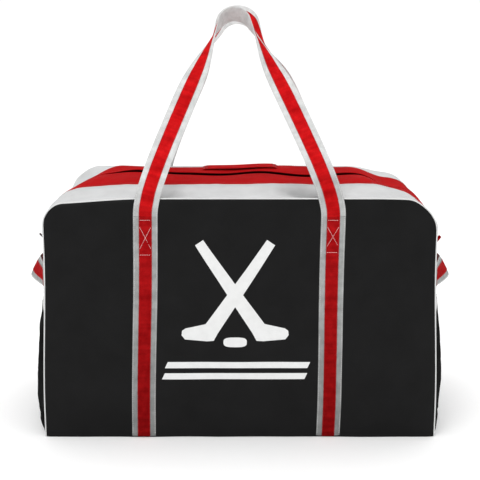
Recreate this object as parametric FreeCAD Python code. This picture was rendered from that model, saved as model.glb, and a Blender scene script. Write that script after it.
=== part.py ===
"""Hockey equipment bag: a boxy team bag with a long top zip, two webbing carry handles and two end grabs.

Frame: +X along the bag, the front panel faces -Y, +Z up. The origin is on the floor under the middle.
Lengths are in millimetres. Each piece is its own solid, and neighbours that are sewn together sit a
tenth of a millimetre apart.
"""

import FreeCAD, Part

import math
import os

V = FreeCAD.Vector

# Bag body
LENGTH = 800.0             # front panel, end to end
DEPTH = 432.0              # outer face of the front panel to that of the back panel
PANEL_TOP = 513.0          # top edge of the front and back panels
CORNER_R = 65.0            # top corners of the panels
CLOTH = 2.5                # coated cloth with its lining
SEAM_GAP = 0.1             # between sewn neighbours
BODY_GAP = 0.4             # between pieces that move past each other
PIPING_R = 2.0

# Gusset that runs up one end, over the top and down the other
TOP_RISE = 18.0            # rise of the white band from the panel's edge to the red band
ZIP_RISE = 20.0            # rise at the zip
WHITE_Y = 120.0            # half width across the two red bands
ZIP_SLOT = 7.0             # half width of the slot between the red bands
END_SEAM_Z = 278.0         # where the gusset meets the black lower end panel
ZIP_SPREAD = 12.0          # further outward lean of the end at the zip, down at the end seam
WHITE_SPREAD = 7.0         # the same where the white band meets the red one
FLAP_HALF = 300.0          # half length of the part of the top that opens
CORNER_SAG = 17.0          # the gusset's middle sinks this far where it turns down into the ends
CORNER_STEPS = 8           # sections round each of those corners

# Lower end panels: height and outward bulge of each cross-section below the end seam
END_BULGES = ((235.0, 44.0), (130.0, 51.0), (50.0, 50.0), (6.2, 44.0))
END_STATIONS = (-1.0, -0.8, -0.566, -0.3, 0.0, 0.3, 0.566, 0.8, 1.0)     # shares of the half depth

# Webbing
WEB_WIDTH = 50.0
WEB_THICK = 2.1
STRIPE_WIDTH = 25.0
STRIPE_THICK = 1.2
STRAP_X = 190.0            # distance of each strap from the bag's middle
STRAP_TOP = 476.0          # top of the box stitch, where the webbing leaves the panel

# Carry handles. Lengths along the webbing count from the foot, just above the box stitch.
HANDLE_LEAN = math.radians(27.0)     # each handle leans in over the bag
HANDLE_UPRIGHT = 36.0                # the webbing first follows the panel up to its top edge
HANDLE_BEND_R = 45.0                 # then bends in over the edge on this radius
HANDLE_REACH = {"front": 446.0, "rear": 443.0}    # length from the foot to the highest point
HANDLE_SHIFT = {"front": -10.0, "rear": -2.0}     # sideways place of the highest point
HANDLE_TURN_R = {"front": 34.0, "rear": 41.0}     # radius of the turn at the top
LEG_SLANT = math.radians(21.0)       # slant of the legs where they meet the turn
LEG_EASE = 1.2                       # the legs lean together a little more as they rise
LEG_SETTLE = 15.0                    # each leg leaves its strap in line with it and turns within this length
LEG_STATIONS = (0.0, 9.0, 18.0, 27.0, 36.0, 46.0, 57.0, 110.0, 170.0, 225.0, 262.0, 298.0, 335.0, 372.0)
TURN_STEPS = 8
TWIST_START = 225.0                  # the webbing turns its outer face outward and up between these lengths
TWIST_END = {"front": 465.0, "rear": 476.0}
TWIST_FULL = {"front": math.radians(114.0), "rear": math.radians(126.0)}
TWIST_EASE = 1.3

# Zip
TAPE_WIDTH = 17.0
TAPE_THICK = 1.0
CHAIN_IN = 0.8             # half of the gap between the two rows of teeth
CHAIN_OUT = 3.6
CHAIN_THICK = 3.6
ZIP_MID = 17.0             # rise of the tape's middle plane
ZIP_END_Z = 345.0          # bottom end of the zip on each end of the bag
SLIDER_Z = 368.0           # middle of each parked slider
SLIDER_LENGTH = 26.0
SLIDER_HALF_WIDTH = 6.2
SLIDER_PLATE = 1.6
BAIL_R = 1.1
SLIDER_POST = 7.0          # length of the post that joins the plates
BAIL_HEIGHT = 3.4          # bail's axis above the outer plate
BAIL_LENGTH = 9.2
BAIL_FOOT = 1.6            # thickness of each of the bail's feet
BAIL_RAISE = 6.0           # bail's axis above the slider's middle
PULL_LENGTH = 30.0
PULL_NECK = 8.0
PULL_EYE_WIDTH = 5.0
PULL_EYE_WALL = 1.3
PULL_ANGLE = math.radians(48.0)      # the parked pulls stand out and up by this angle above level
LEFT_PULL = (1.8, 9.0)               # thickness and width of the metal pull
RIGHT_PULL = (2.0, 12.0)             # and of the fabric-covered one

# Grab handles on the ends
GRAB_Z = 333.0             # middle of the sewn ends
GRAB_END_Y = 127.0         # the loop leaves its sewn ends here
GRAB_TAIL = 42.0           # sewn length at each end
GRAB_BOW = 35.0            # how far the loop stands out at its middle
GRAB_DROOP = 7.0           # how far the loop's middle hangs down
GRAB_TILT = math.radians(23.0)       # its lower edge stands out further
GRAB_FULLNESS = 0.15       # how much rounder than a parabola the loop's plan is
GRAB_STEPS = 12

# Sleeve on the rear red band
SLEEVE_HALF = 84.0
SLEEVE_Y = 78.0
SLEEVE_HEIGHT = 5.0
SLEEVE_TAB = 12.0          # sewn length at each end

HALF_L = LENGTH / 2
HALF_D = DEPTH / 2
ARC_X = HALF_L - CORNER_R
ARC_Z = PANEL_TOP - CORNER_R
STRAP_BASE = STRIPE_THICK + SEAM_GAP                    # underside of the straps below the bag
BOTTOM_Z = STRAP_BASE + WEB_THICK + SEAM_GAP            # underside of the bottom panel
GUSSET_Y = HALF_D - 2 * PIPING_R - SEAM_GAP
PARTS = {}


def save(name, shape):
    """Keep a checked shape under its node name."""
    if not shape.isValid():
        raise ValueError(name + " is not a valid shape")
    PARTS[name] = shape


def mirrored_y(shape):
    return shape.mirror(V(0, 0, 0), V(0, 1, 0))


def mirrored_x(shape):
    return shape.mirror(V(0, 0, 0), V(1, 0, 0))


def box(low, high):
    size = [b - a for a, b in zip(low, high)]
    return Part.makeBox(size[0], size[1], size[2], V(*low))


def polygon_face(points):
    return Part.Face(Part.makePolygon(list(points) + [points[0]]))


def fused(shapes):
    result = shapes[0]
    for shape in shapes[1:]:
        result = result.fuse(shape)
    return result.removeSplitter()


def arch_outline(inset, bottom):
    """Edges of the panel's outline: up the left end, over the top and down the right end."""
    x = HALF_L - inset
    top = PANEL_TOP - inset
    bend = CORNER_R - inset
    diagonal = bend * math.sqrt(0.5)
    left_arc = Part.Arc(V(-x, 0, ARC_Z), V(-ARC_X - diagonal, 0, ARC_Z + diagonal), V(-ARC_X, 0, top))
    right_arc = Part.Arc(V(ARC_X, 0, top), V(ARC_X + diagonal, 0, ARC_Z + diagonal), V(x, 0, ARC_Z))
    return [
        Part.LineSegment(V(-x, 0, bottom), V(-x, 0, ARC_Z)).toShape(),
        left_arc.toShape(),
        Part.LineSegment(V(-ARC_X, 0, top), V(ARC_X, 0, top)).toShape(),
        right_arc.toShape(),
        Part.LineSegment(V(x, 0, ARC_Z), V(x, 0, bottom)).toShape(),
    ]


def make_panel():
    """Front panel, flat, with round top corners."""
    inset = 2 * PIPING_R + SEAM_GAP
    x = HALF_L - inset
    edges = arch_outline(inset, BOTTOM_Z)
    edges.append(Part.LineSegment(V(x, 0, BOTTOM_Z), V(-x, 0, BOTTOM_Z)).toShape())
    panel = Part.Face(Part.Wire(edges)).extrude(V(0, CLOTH, 0))
    panel.translate(V(0, -HALF_D, 0))
    return panel


def make_piping():
    """Round piping in the seam between the front panel and the gusset."""
    path = Part.Wire(arch_outline(PIPING_R, BOTTOM_Z))
    ring = Part.Wire(Part.makeCircle(PIPING_R, V(-HALF_L + PIPING_R, 0, BOTTOM_Z), V(0, 0, 1)))
    piping = path.makePipeShell([ring], True, True)
    piping.translate(V(0, -HALF_D + PIPING_R, 0))
    return piping


def over_top(section, x_from, x_to):
    """Extrude a (y, rise) section along the top of the bag."""
    face = polygon_face([V(x_from, y, PANEL_TOP + rise) for y, rise in section])
    return face.extrude(V(x_to - x_from, 0, 0))


def round_corner(section):
    """Turn a (y, rise) section round the right top corner, where its middle sags."""
    wires = []
    for step in range(CORNER_STEPS + 1):
        angle = math.pi / 2 * step / CORNER_STEPS
        sag = CORNER_SAG * math.sin(2 * angle) ** 2
        points = []
        for y, rise in section:
            radius = CORNER_R + rise - sag * (1 - (y / GUSSET_Y) ** 2)
            points.append(V(ARC_X + radius * math.sin(angle), y, ARC_Z + radius * math.cos(angle)))
        wires.append(Part.makePolygon(points + [points[0]]))
    return Part.makeLoft(wires, True, True)


def end_spread(y, z):
    """How much further out than its rise the right end stands, at a height below the top corner."""
    drop = (ARC_Z - z) / (ARC_Z - END_SEAM_Z)
    side = abs(y)
    if side > WHITE_Y:
        return drop * WHITE_SPREAD * (GUSSET_Y - side) / (GUSSET_Y - WHITE_Y)
    inner = max(side - ZIP_SLOT, 0.0) / (WHITE_Y - ZIP_SLOT)
    return drop * (ZIP_SPREAD + (WHITE_SPREAD - ZIP_SPREAD) * inner)


def down_end(section, z_from, z_to):
    """Carry a (y, rise) section down the right end of the bag, which leans out a little."""
    wires = []
    for z in (z_from, z_to):
        points = [V(HALF_L + rise + end_spread(y, z), y, z) for y, rise in section]
        wires.append(Part.makePolygon(points + [points[0]]))
    return Part.makeLoft(wires, True, True)


def right_end_strip(section, x_from, z_to):
    """One strip from x_from along the top, round the right corner and down to z_to."""
    return fused([over_top(section, x_from, ARC_X), round_corner(section), down_end(section, ARC_Z, z_to)])


def slab_section(y_out, rise_out, y_in, rise_in, thick):
    """A strip's section between two points of its outer face, with its thickness inward."""
    return [(y_out, rise_out), (y_in, rise_in), (y_in, rise_in - thick), (y_out, rise_out - thick)]


WHITE = slab_section(-GUSSET_Y, 0.0, -WHITE_Y - SEAM_GAP, TOP_RISE, CLOTH)
RED = slab_section(-WHITE_Y, TOP_RISE, -ZIP_SLOT, ZIP_RISE, CLOTH)
TAPE_RISE = ZIP_MID + TAPE_THICK / 2 - 0.2
TAPE_EDGE = -CHAIN_OUT - SEAM_GAP
TAPE = slab_section(TAPE_EDGE - TAPE_WIDTH, TAPE_RISE - 0.3, TAPE_EDGE, TAPE_RISE, TAPE_THICK)
CHAIN_TOP = ZIP_MID + CHAIN_THICK / 2
CHAIN = slab_section(-CHAIN_OUT, CHAIN_TOP, -CHAIN_IN, CHAIN_TOP, CHAIN_THICK)


def make_gusset():
    """White band that borders the front panel over the top and both ends."""
    right = right_end_strip(WHITE, 0.0, END_SEAM_Z)
    return fused([right, mirrored_x(right)])


def end_rise(y):
    """Outward stand of the right end just at the end seam."""
    side = abs(y)
    if side > WHITE_Y:
        return TOP_RISE * (GUSSET_Y - side) / (GUSSET_Y - WHITE_Y) + end_spread(y, END_SEAM_Z)
    slope = (ZIP_RISE - TOP_RISE) / WHITE_Y
    return ZIP_RISE - slope * side + end_spread(y, END_SEAM_Z)


def end_outline(bulge, inset):
    """Plan of the right end at one height: points from front to rear, set in by inset."""
    points = []
    for share in END_STATIONS:
        y = share * GUSSET_Y
        stand = end_rise(y) if bulge is None else bulge * (1 - share * share)
        points.append((HALF_L + stand - inset, y))
    return points


def make_end_panel():
    """Black lower end panel of the right end, bulging outward."""
    wires = []
    for z, bulge in ((END_SEAM_Z - SEAM_GAP, None),) + END_BULGES:
        outer = [V(x, y, z) for x, y in end_outline(bulge, 0.0)]
        inner = [V(x, y, z) for x, y in end_outline(bulge, CLOTH)]
        wires.append(Part.makePolygon(outer + inner[::-1] + [outer[0]]))
    return Part.makeLoft(wires, True, True)


def make_bottom():
    """Bottom panel with its ends bowed to meet the end panels."""
    right = [V(x, y, BOTTOM_Z) for x, y in end_outline(END_BULGES[-1][1], CLOTH + SEAM_GAP)]
    left = [V(-point.x, point.y, BOTTOM_Z) for point in reversed(right)]
    return polygon_face(right + left).extrude(V(0, 0, CLOTH))


def make_strap(half_width, inner_gap, thick):
    """Webbing up the front, under the bag and up the back, as one U."""
    y_in = HALF_D + inner_gap
    y_out = y_in + thick
    z_top = STRAP_TOP
    z_low = BOTTOM_Z - inner_gap - thick
    front = box((-half_width, -y_out, z_low), (half_width, -y_in, z_top))
    under = box((-half_width, -y_out, z_low), (half_width, y_out, z_low + thick))
    rear = box((-half_width, y_in, z_low), (half_width, y_out, z_top))
    return fused([front, under, rear])


def handle_profile(length):
    """Side view of the front handle at a length from its foot: (y, z, lean)."""
    y = -HALF_D - BODY_GAP - WEB_THICK / 2
    z = STRAP_TOP + 3 * BODY_GAP
    bend_length = HANDLE_BEND_R * HANDLE_LEAN
    lean = min(max(length - HANDLE_UPRIGHT, 0.0), bend_length) / HANDLE_BEND_R
    straight = max(length - HANDLE_UPRIGHT - bend_length, 0.0)
    y += HANDLE_BEND_R * (1 - math.cos(lean)) + straight * math.sin(lean)
    z += min(length, HANDLE_UPRIGHT) + HANDLE_BEND_R * math.sin(lean) + straight * math.cos(lean)
    return y, z, lean


def twist_at(name, length):
    """How far a handle's webbing has turned about its own line at a length from the foot."""
    share = min(1.0, max(0.0, (length - TWIST_START) / (TWIST_END[name] - TWIST_START)))
    return TWIST_FULL[name] * (share * share * (3 - 2 * share)) ** TWIST_EASE


def handle_leg(side, reach, turn_r, shift):
    """Stations of one leg, foot first: (sideways, length, angle of the width)."""
    leg_length = reach - turn_r * (1 - math.sin(LEG_SLANT))
    start_x = side * STRAP_X
    end_x = shift + side * turn_r * math.cos(LEG_SLANT)
    span = leg_length - LEG_SETTLE
    leg = []
    for length in LEG_STATIONS + (leg_length,):
        turned = 1 - math.exp(-length / LEG_SETTLE)
        part = (length - LEG_SETTLE * turned) / span
        x = start_x + (end_x - start_x) * part ** LEG_EASE
        slope = (end_x - start_x) / span * LEG_EASE * part ** (LEG_EASE - 1) * turned
        leg.append((x, length, math.atan(slope)))
    return leg


def handle_route(reach, turn_r, shift):
    """Stations of a handle, from its left foot over the top to its right foot."""
    left = handle_leg(-1, reach, turn_r, shift)
    right = [(x, length, math.pi + angle) for x, length, angle in handle_leg(1, reach, turn_r, shift)]
    turn = []
    for step in range(1, TURN_STEPS):
        angle = LEG_SLANT + (math.pi - 2 * LEG_SLANT) * step / TURN_STEPS
        x = shift - turn_r * math.cos(angle)
        length = reach - turn_r * (1 - math.sin(angle))
        turn.append((x, length, angle))
    return left + turn + right[::-1]


def make_handle(name, width, lift, thick):
    """Webbing loop of a handle standing over the front, or a stripe lying on its outer face."""
    wires = []
    for x, length, angle in handle_route(HANDLE_REACH[name], HANDLE_TURN_R[name], HANDLE_SHIFT[name]):
        y, z, lean = handle_profile(length)
        up = V(0, math.sin(lean), math.cos(lean))
        out = V(0, -math.cos(lean), math.sin(lean))
        across = V(math.cos(angle), 0, 0) - up * math.sin(angle)
        turn = twist_at(name, length)
        flat = across * math.cos(turn) + out * math.sin(turn)
        outward = out * math.cos(turn) - across * math.sin(turn)
        wires.append(cross_section(V(x, y, z) + outward * lift, flat * width, outward * thick))
    return Part.makeLoft(wires, True, True)


def cross_section(middle, width, thick):
    """Closed rectangle round a middle point, spanned by two vectors."""
    corners = [middle + width * (a / 2) + thick * (b / 2) for a, b in ((-1, -1), (1, -1), (1, 1), (-1, 1))]
    return Part.makePolygon(corners + [corners[0]])


def make_grab(width, lift, thick):
    """Webbing loop on the right end, bowed outward and drooping, or a stripe on it."""
    start = HALF_L + TOP_RISE + end_spread(WHITE_Y, GRAB_Z - WEB_WIDTH / 2) + WEB_THICK / 2 + 2 * BODY_GAP
    wires = []
    for step in range(GRAB_STEPS + 1):
        t = -1 + 2 * step / GRAB_STEPS
        bow = (1 - t * t) * (1 + GRAB_FULLNESS * t * t)
        x = start + GRAB_BOW * bow
        z = GRAB_Z - GRAB_DROOP * bow
        tilt = GRAB_TILT * bow
        slope = math.atan2(-GRAB_BOW * 2 * t, GRAB_END_Y)
        down = V(math.sin(tilt), 0, -math.cos(tilt))
        along = V(math.sin(slope), math.cos(slope), 0)
        outward = along.cross(down).normalize() * -1.0
        middle = V(x, t * GRAB_END_Y, z) + outward * lift
        wires.append(cross_section(middle, down * width, outward * thick))
    return Part.makeLoft(wires, True, True)


def make_grab_tail(width, base, thick):
    """Sewn end of the right grab handle, on the front white band."""
    rise_per_y = TOP_RISE / (GUSSET_Y - WHITE_Y)
    y_in = -GRAB_END_Y - BODY_GAP
    y_out = y_in - GRAB_TAIL
    rise_in = TOP_RISE + rise_per_y * (y_in + WHITE_Y) + base
    rise_out = TOP_RISE + rise_per_y * (y_out + WHITE_Y) + base
    section = [(y_out, rise_out), (y_in, rise_in), (y_in, rise_in + thick), (y_out, rise_out + thick)]
    return down_end(section, GRAB_Z + width / 2, GRAB_Z - width / 2)


def make_slider():
    """Slider body of the right end: two plates, the post between the rows of teeth, and the bail."""
    inner_face = HALF_L + ZIP_MID - CHAIN_THICK / 2 - BODY_GAP
    outer_face = HALF_L + ZIP_MID + CHAIN_THICK / 2 + BODY_GAP
    half = SLIDER_LENGTH / 2
    low = SLIDER_Z - half
    high = SLIDER_Z + half
    w = SLIDER_HALF_WIDTH
    post = CHAIN_IN - BODY_GAP
    sunk = SLIDER_PLATE / 3
    inner = box((inner_face - SLIDER_PLATE, -w, low), (inner_face, w, high))
    outer = box((outer_face, -w, low), (outer_face + SLIDER_PLATE, w, high))
    neck = box((inner_face - sunk, -post, high - 1 - SLIDER_POST), (outer_face + sunk, post, high - 1))
    x_bail = outer_face + SLIDER_PLATE + BAIL_HEIGHT
    z_bail = SLIDER_Z + BAIL_RAISE
    y_bail = BAIL_LENGTH / 2
    bar = Part.makeCylinder(BAIL_R, BAIL_LENGTH, V(x_bail, -y_bail, z_bail), V(0, 1, 0))
    foot = box((outer_face + sunk, y_bail - BAIL_FOOT, z_bail - BAIL_FOOT),
               (x_bail + BAIL_R, y_bail, z_bail + BAIL_FOOT))
    slider = fused([inner, outer, neck, bar, foot, mirrored_y(foot)])
    slider = slider.translated(V(end_spread(0, SLIDER_Z), 0, 0))
    centre = V(HALF_L + ZIP_MID + end_spread(0, SLIDER_Z), 0, SLIDER_Z)
    lean = -math.degrees(math.atan2(ZIP_SPREAD, ARC_Z - END_SEAM_Z))
    slider.rotate(centre, V(0, 1, 0), lean)
    pivot = V(x_bail + end_spread(0, SLIDER_Z), 0, z_bail) - centre
    pivot = FreeCAD.Rotation(V(0, 1, 0), lean).multVec(pivot) + centre
    return slider, pivot


def make_pull(pivot, thick, width):
    """Pull with an eye round the bail, pointing up and out."""
    eye_r = BAIL_R + BODY_GAP
    ring_r = eye_r + PULL_EYE_WALL
    eye_half = PULL_EYE_WIDTH / 2
    low = pivot.z - thick / 2
    high = pivot.z + thick / 2
    ring = Part.makeCylinder(ring_r, PULL_EYE_WIDTH, pivot - V(0, eye_half, 0), V(0, 1, 0))
    neck = box((pivot.x, -eye_half, low), (pivot.x + PULL_NECK, eye_half, high))
    grip = box((pivot.x + PULL_NECK - 1, -width / 2, low), (pivot.x + PULL_LENGTH, width / 2, high))
    hole = Part.makeCylinder(eye_r, 2 * eye_half + 2, pivot - V(0, eye_half + 1, 0), V(0, 1, 0))
    pull = fused([ring, neck, grip]).cut(hole)
    pull.rotate(pivot, V(0, 1, 0), -math.degrees(PULL_ANGLE))
    return pull


def make_sleeve():
    """Red webbing sleeve across the rear band, sewn at both ends and bowed up between them."""
    base = PANEL_TOP + ZIP_RISE + SEAM_GAP
    face = base + WEB_THICK
    bend = SLEEVE_HALF - SLEEVE_TAB
    outer = Part.Arc(V(-bend, 0, face), V(0, 0, face + SLEEVE_HEIGHT), V(bend, 0, face)).toShape()
    inner = Part.Arc(V(bend, 0, base), V(0, 0, base + SLEEVE_HEIGHT), V(-bend, 0, base)).toShape()
    right = [V(bend, 0, face), V(SLEEVE_HALF, 0, face), V(SLEEVE_HALF, 0, base), V(bend, 0, base)]
    left = [V(-p.x, 0, p.z) for p in reversed(right)]
    wire = Part.Wire([outer, Part.makePolygon(right), inner, Part.makePolygon(left)])
    sleeve = Part.Face(wire).extrude(V(0, WEB_WIDTH, 0))
    sleeve.translate(V(0, SLEEVE_Y - WEB_WIDTH / 2, 0))
    return sleeve


def make_stop():
    """Moulded stop over the bottom end of the zip on the right end."""
    rise = ZIP_MID + CHAIN_THICK / 2
    section = slab_section(-ZIP_SLOT + 2, rise, ZIP_SLOT - 2, rise, CHAIN_THICK)
    return down_end(section, ZIP_END_Z - SEAM_GAP, ZIP_END_Z - 7)


def both_ends(name, shape):
    """A piece of the right end and its mirror image on the left end."""
    save("right_" + name, shape)
    save("left_" + name, mirrored_x(shape))


def build():
    panel = make_panel()
    save("front_panel", panel)
    save("back_panel", mirrored_y(panel))
    piping = make_piping()
    save("front_piping", piping)
    save("back_piping", mirrored_y(piping))
    save("bottom_panel", make_bottom())
    both_ends("end_panel", make_end_panel())
    gusset = make_gusset()
    save("front_top_band", gusset)
    save("rear_top_band", mirrored_y(gusset))

    red_end = right_end_strip(RED, FLAP_HALF + BODY_GAP, END_SEAM_Z)
    both_ends("front_red_band", red_end)
    both_ends("rear_red_band", mirrored_y(red_end))
    flap = over_top(RED, -FLAP_HALF, FLAP_HALF)
    save("front_flap", flap)
    save("rear_flap", mirrored_y(flap))

    filler = slab_section(-ZIP_SLOT + SEAM_GAP, ZIP_RISE, ZIP_SLOT - SEAM_GAP, ZIP_RISE, CLOTH)
    both_ends("zip_end_cover", down_end(filler, ZIP_END_Z - 8, END_SEAM_Z))
    both_ends("zip_stop", make_stop())
    for part, section in (("tape", TAPE), ("teeth", CHAIN)):
        top = over_top(section, -FLAP_HALF, FLAP_HALF)
        save("front_zip_" + part, top)
        save("rear_zip_" + part, mirrored_y(top))
        end = right_end_strip(section, FLAP_HALF + BODY_GAP, ZIP_END_Z)
        both_ends("zip_" + part, Part.Compound([end, mirrored_y(end)]))

    slider, pivot = make_slider()
    both_ends("slider", slider)
    save("right_pull", make_pull(pivot, *RIGHT_PULL))
    save("left_pull", mirrored_x(make_pull(pivot, *LEFT_PULL)))

    strap = make_strap(WEB_WIDTH / 2, SEAM_GAP, WEB_THICK)
    stripe = make_strap(STRIPE_WIDTH / 2, 2 * SEAM_GAP + WEB_THICK, STRIPE_THICK)
    for side, x in (("left", -STRAP_X), ("right", STRAP_X)):
        save(side + "_strap", strap.translated(V(x, 0, 0)))
        save(side + "_strap_stripe", stripe.translated(V(x, 0, 0)))

    stripe_lift = WEB_THICK / 2 + SEAM_GAP + STRIPE_THICK / 2
    for name in ("front", "rear"):
        webbing = make_handle(name, WEB_WIDTH, 0.0, WEB_THICK)
        stripe = make_handle(name, STRIPE_WIDTH, stripe_lift, STRIPE_THICK)
        if name == "rear":
            webbing = mirrored_y(webbing)
            stripe = mirrored_y(stripe)
        save(name + "_handle", webbing)
        save(name + "_handle_stripe", stripe)

    both_ends("grab_handle", make_grab(WEB_WIDTH, 0.0, WEB_THICK))
    both_ends("grab_stripe", make_grab(STRIPE_WIDTH, stripe_lift, STRIPE_THICK))
    tail = make_grab_tail(WEB_WIDTH, SEAM_GAP, WEB_THICK)
    both_ends("grab_tails", Part.Compound([tail, mirrored_y(tail)]))
    save("top_sleeve", make_sleeve())


def write():
    os.makedirs("parts", exist_ok=True)
    for name, shape in PARTS.items():
        shape.exportStep("parts/" + name + ".step")
        size = shape.BoundBox
        print("%-22s %8.1f cm3  x %.1f..%.1f  y %.1f..%.1f  z %.1f..%.1f" % (
            name, shape.Volume / 1000, size.XMin, size.XMax, size.YMin, size.YMax, size.ZMin, size.ZMax))


build()
write()
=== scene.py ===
"""Hockey equipment bag: fabric shell, webbing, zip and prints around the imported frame. Metres throughout."""

import math

import bmesh
import bpy
import numpy as np
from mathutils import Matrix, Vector


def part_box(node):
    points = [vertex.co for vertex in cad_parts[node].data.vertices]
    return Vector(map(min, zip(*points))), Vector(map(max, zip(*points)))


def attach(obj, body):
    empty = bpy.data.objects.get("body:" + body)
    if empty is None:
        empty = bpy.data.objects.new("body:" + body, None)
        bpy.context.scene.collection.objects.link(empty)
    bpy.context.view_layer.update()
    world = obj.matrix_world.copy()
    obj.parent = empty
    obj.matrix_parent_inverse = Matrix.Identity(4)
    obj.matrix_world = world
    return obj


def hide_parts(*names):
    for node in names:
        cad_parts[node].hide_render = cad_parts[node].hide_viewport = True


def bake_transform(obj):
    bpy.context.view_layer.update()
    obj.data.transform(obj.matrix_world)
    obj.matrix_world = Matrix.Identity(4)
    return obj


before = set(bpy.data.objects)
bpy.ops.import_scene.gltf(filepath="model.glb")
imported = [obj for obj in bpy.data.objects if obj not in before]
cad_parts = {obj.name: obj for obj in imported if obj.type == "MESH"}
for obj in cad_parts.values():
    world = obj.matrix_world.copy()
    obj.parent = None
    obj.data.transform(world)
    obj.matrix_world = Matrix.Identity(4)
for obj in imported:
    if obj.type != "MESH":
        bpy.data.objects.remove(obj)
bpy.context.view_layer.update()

# ---------------------------------------------------------------- sizes, from the frame where it has them
HALF_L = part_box("front_panel")[1].x + 0.0041     # half length over the piping
FRONT_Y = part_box("front_panel")[0].y             # outer face of the front panel
PANEL_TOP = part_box("front_panel")[1].z + 0.0041
PANEL_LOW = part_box("front_panel")[0].z - 0.0025
HALF_Y = -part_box("front_top_band")[0].y          # half depth of the gusset
SEAM_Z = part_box("front_top_band")[0].z           # end seam between the bands and the lower end panels
WHITE_Y = -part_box("front_flap")[0].y             # seam between the white and the red band
STRAP_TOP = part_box("left_strap")[1].z            # the webbing leaves the panel here
STRAP_X = {"left": -0.1925, "right": 0.190}
STRAP_SHIFT = {"left": -0.006, "right": -0.008}  # sideways run of each strap down to the floor
WEB = 0.050                                      # width of the white webbing
WEB_THICK = 0.0021
STRIPE = 0.0266                                  # width of the red stripe sewn along it
STRIPE_THICK = 0.0012
RED_SEAM = 0.0123                                # a row of stitches each side of the stripe's middle
WHITE_SEAM = 0.0228                              # and one near each edge of the white webbing
HANDLE_LENGTH = 0.936                            # along the webbing of a carry handle, foot to foot
CROWN = 0.0165                                   # rise of the top over the panels' edges
END_CROWN = 0.004                                # the ends stand out this much more than the top rises
CORNER_SINK = 0.004                              # the gusset's middle sinks below them at the top corners
REAR_SINK = 0.022                                # and much further at the rear left corner
SAG_START = {"left": 0.0065, "right": 0.0425}    # the sinking stays full this far from each top corner
SAG_SKEW = {"left": 0.22, "right": 0.12}         # and reaches further by this share of y towards the rear
SAG_EASE = 0.085                                 # it fades out over this length
WIDEN = 0.004                                    # the ends of the panels stand out this much
TOP_LIFT = 0.0036                                # the filled bag stands a little over the flat pattern
END_SPREAD = 0.012                               # further lean of the ends down at the end seam
SEAM_FLARE = 0.006                               # and a last flare of the slack cloth below the zip's ends
ARC_Z = PANEL_TOP - 0.065                        # the gusset's end run starts below this
CORNER = {"left": 0.044, "right": 0.060}         # radius of the top corners
CLOTH = 0.0018                                   # thickness
PIPING_R = 0.0014
PANEL_INSET = 0.0027                             # the panels' cloth starts this far inside their outline
DENTS = ((-0.152, 0.015, 0.010), (0.132, 0.026, 0.013))    # x, width and depth beside the front handle
FLAP_FIXED = 0.36                                # the flaps' ends reach into the fixed bands between these x; they are only passed to place, which does not use them
FLAP_FREE = 0.22
WEB_CENTRE = FRONT_Y - 0.0001 - WEB_THICK / 2    # middle of the webbing on the front panel
STRIPE_LIFT = WEB_THICK / 2 + STRIPE_THICK / 2 - 0.0001
GRAB_Z = 0.333                                   # middle of the sewn ends of a grab handle
GRAB_END_Y = 0.127                               # where its loop leaves the cloth
GRAB_TAIL_Y = 0.168                              # and where its sewn tail ends
ZIP_END_Z = 0.345


# ---------------------------------------------------------------- small maths
def smooth(x):
    x = np.clip(x, 0.0, 1.0)
    return x * x * (3 - 2 * x)


def unit(vectors):
    return vectors / np.maximum(np.linalg.norm(vectors, axis=-1), 1e-12)[..., None]


def lengths(points):
    """Length along a line up to each of its points."""
    return np.r_[0, np.cumsum(np.linalg.norm(np.diff(points, axis=0), axis=1))]


def repeated(vector, count):
    return np.tile(np.array(vector, float), (count, 1))


def ripples(seed, count, wavelength):
    """Directions, phases and weights of a smooth random field of about one wavelength."""
    source = np.random.default_rng(seed)
    direction = source.normal(size=(count, 3))
    direction /= np.linalg.norm(direction, axis=1)[:, None]
    scale = 2 * math.pi / (wavelength * source.uniform(0.7, 1.6, count))
    return direction * scale[:, None], source.uniform(0, 2 * math.pi, count)


def field(points, waves):
    """Smooth random value between about -1 and 1 at each point."""
    vectors, phases = waves
    return np.sin(points @ vectors.T + phases).sum(-1) / math.sqrt(len(phases)) * 0.8


WIDE = ripples(3, 7, 0.30)
MEDIUM = ripples(5, 9, 0.11)
PUCKER = ripples(31, 10, 0.022)
# how the middle of the top wanders: place along the bag, and the share of the full drift and dip there
WANDER_X = (-0.36, -0.30, -0.24, -0.12, -0.03, 0.045, 0.145, 0.25, 0.32, 0.38)
WANDER = (0.0, -0.6, -1.0, -0.3, 0.3, -0.4, 1.0, -0.1, 0.8, 0.0)
WANDER_DRIFT = 0.014
WANDER_DIP = 0.0042
ZIP_DIP = 0.0030                                 # the cloth dips along the zip


def wander(x):
    """Share of the drift at each x, running smoothly from one chosen place to the next."""
    at = np.interp(x, WANDER_X, np.arange(len(WANDER)))
    low = np.minimum(at.astype(int), len(WANDER) - 2)
    values = np.array(WANDER)
    return values[low] + (values[low + 1] - values[low]) * smooth(at - low)


def edge_distance(x, z):
    """Distance inward from the panel's round-cornered outline."""
    radius = np.where(x < 0, CORNER["left"], CORNER["right"])
    qx = np.abs(x) - (HALF_L - radius)
    qz = z - (PANEL_TOP - radius)
    corner = np.hypot(np.maximum(qx, 0), np.maximum(qz, 0)) + np.minimum(np.maximum(qx, qz), 0)
    return radius - corner


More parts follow.
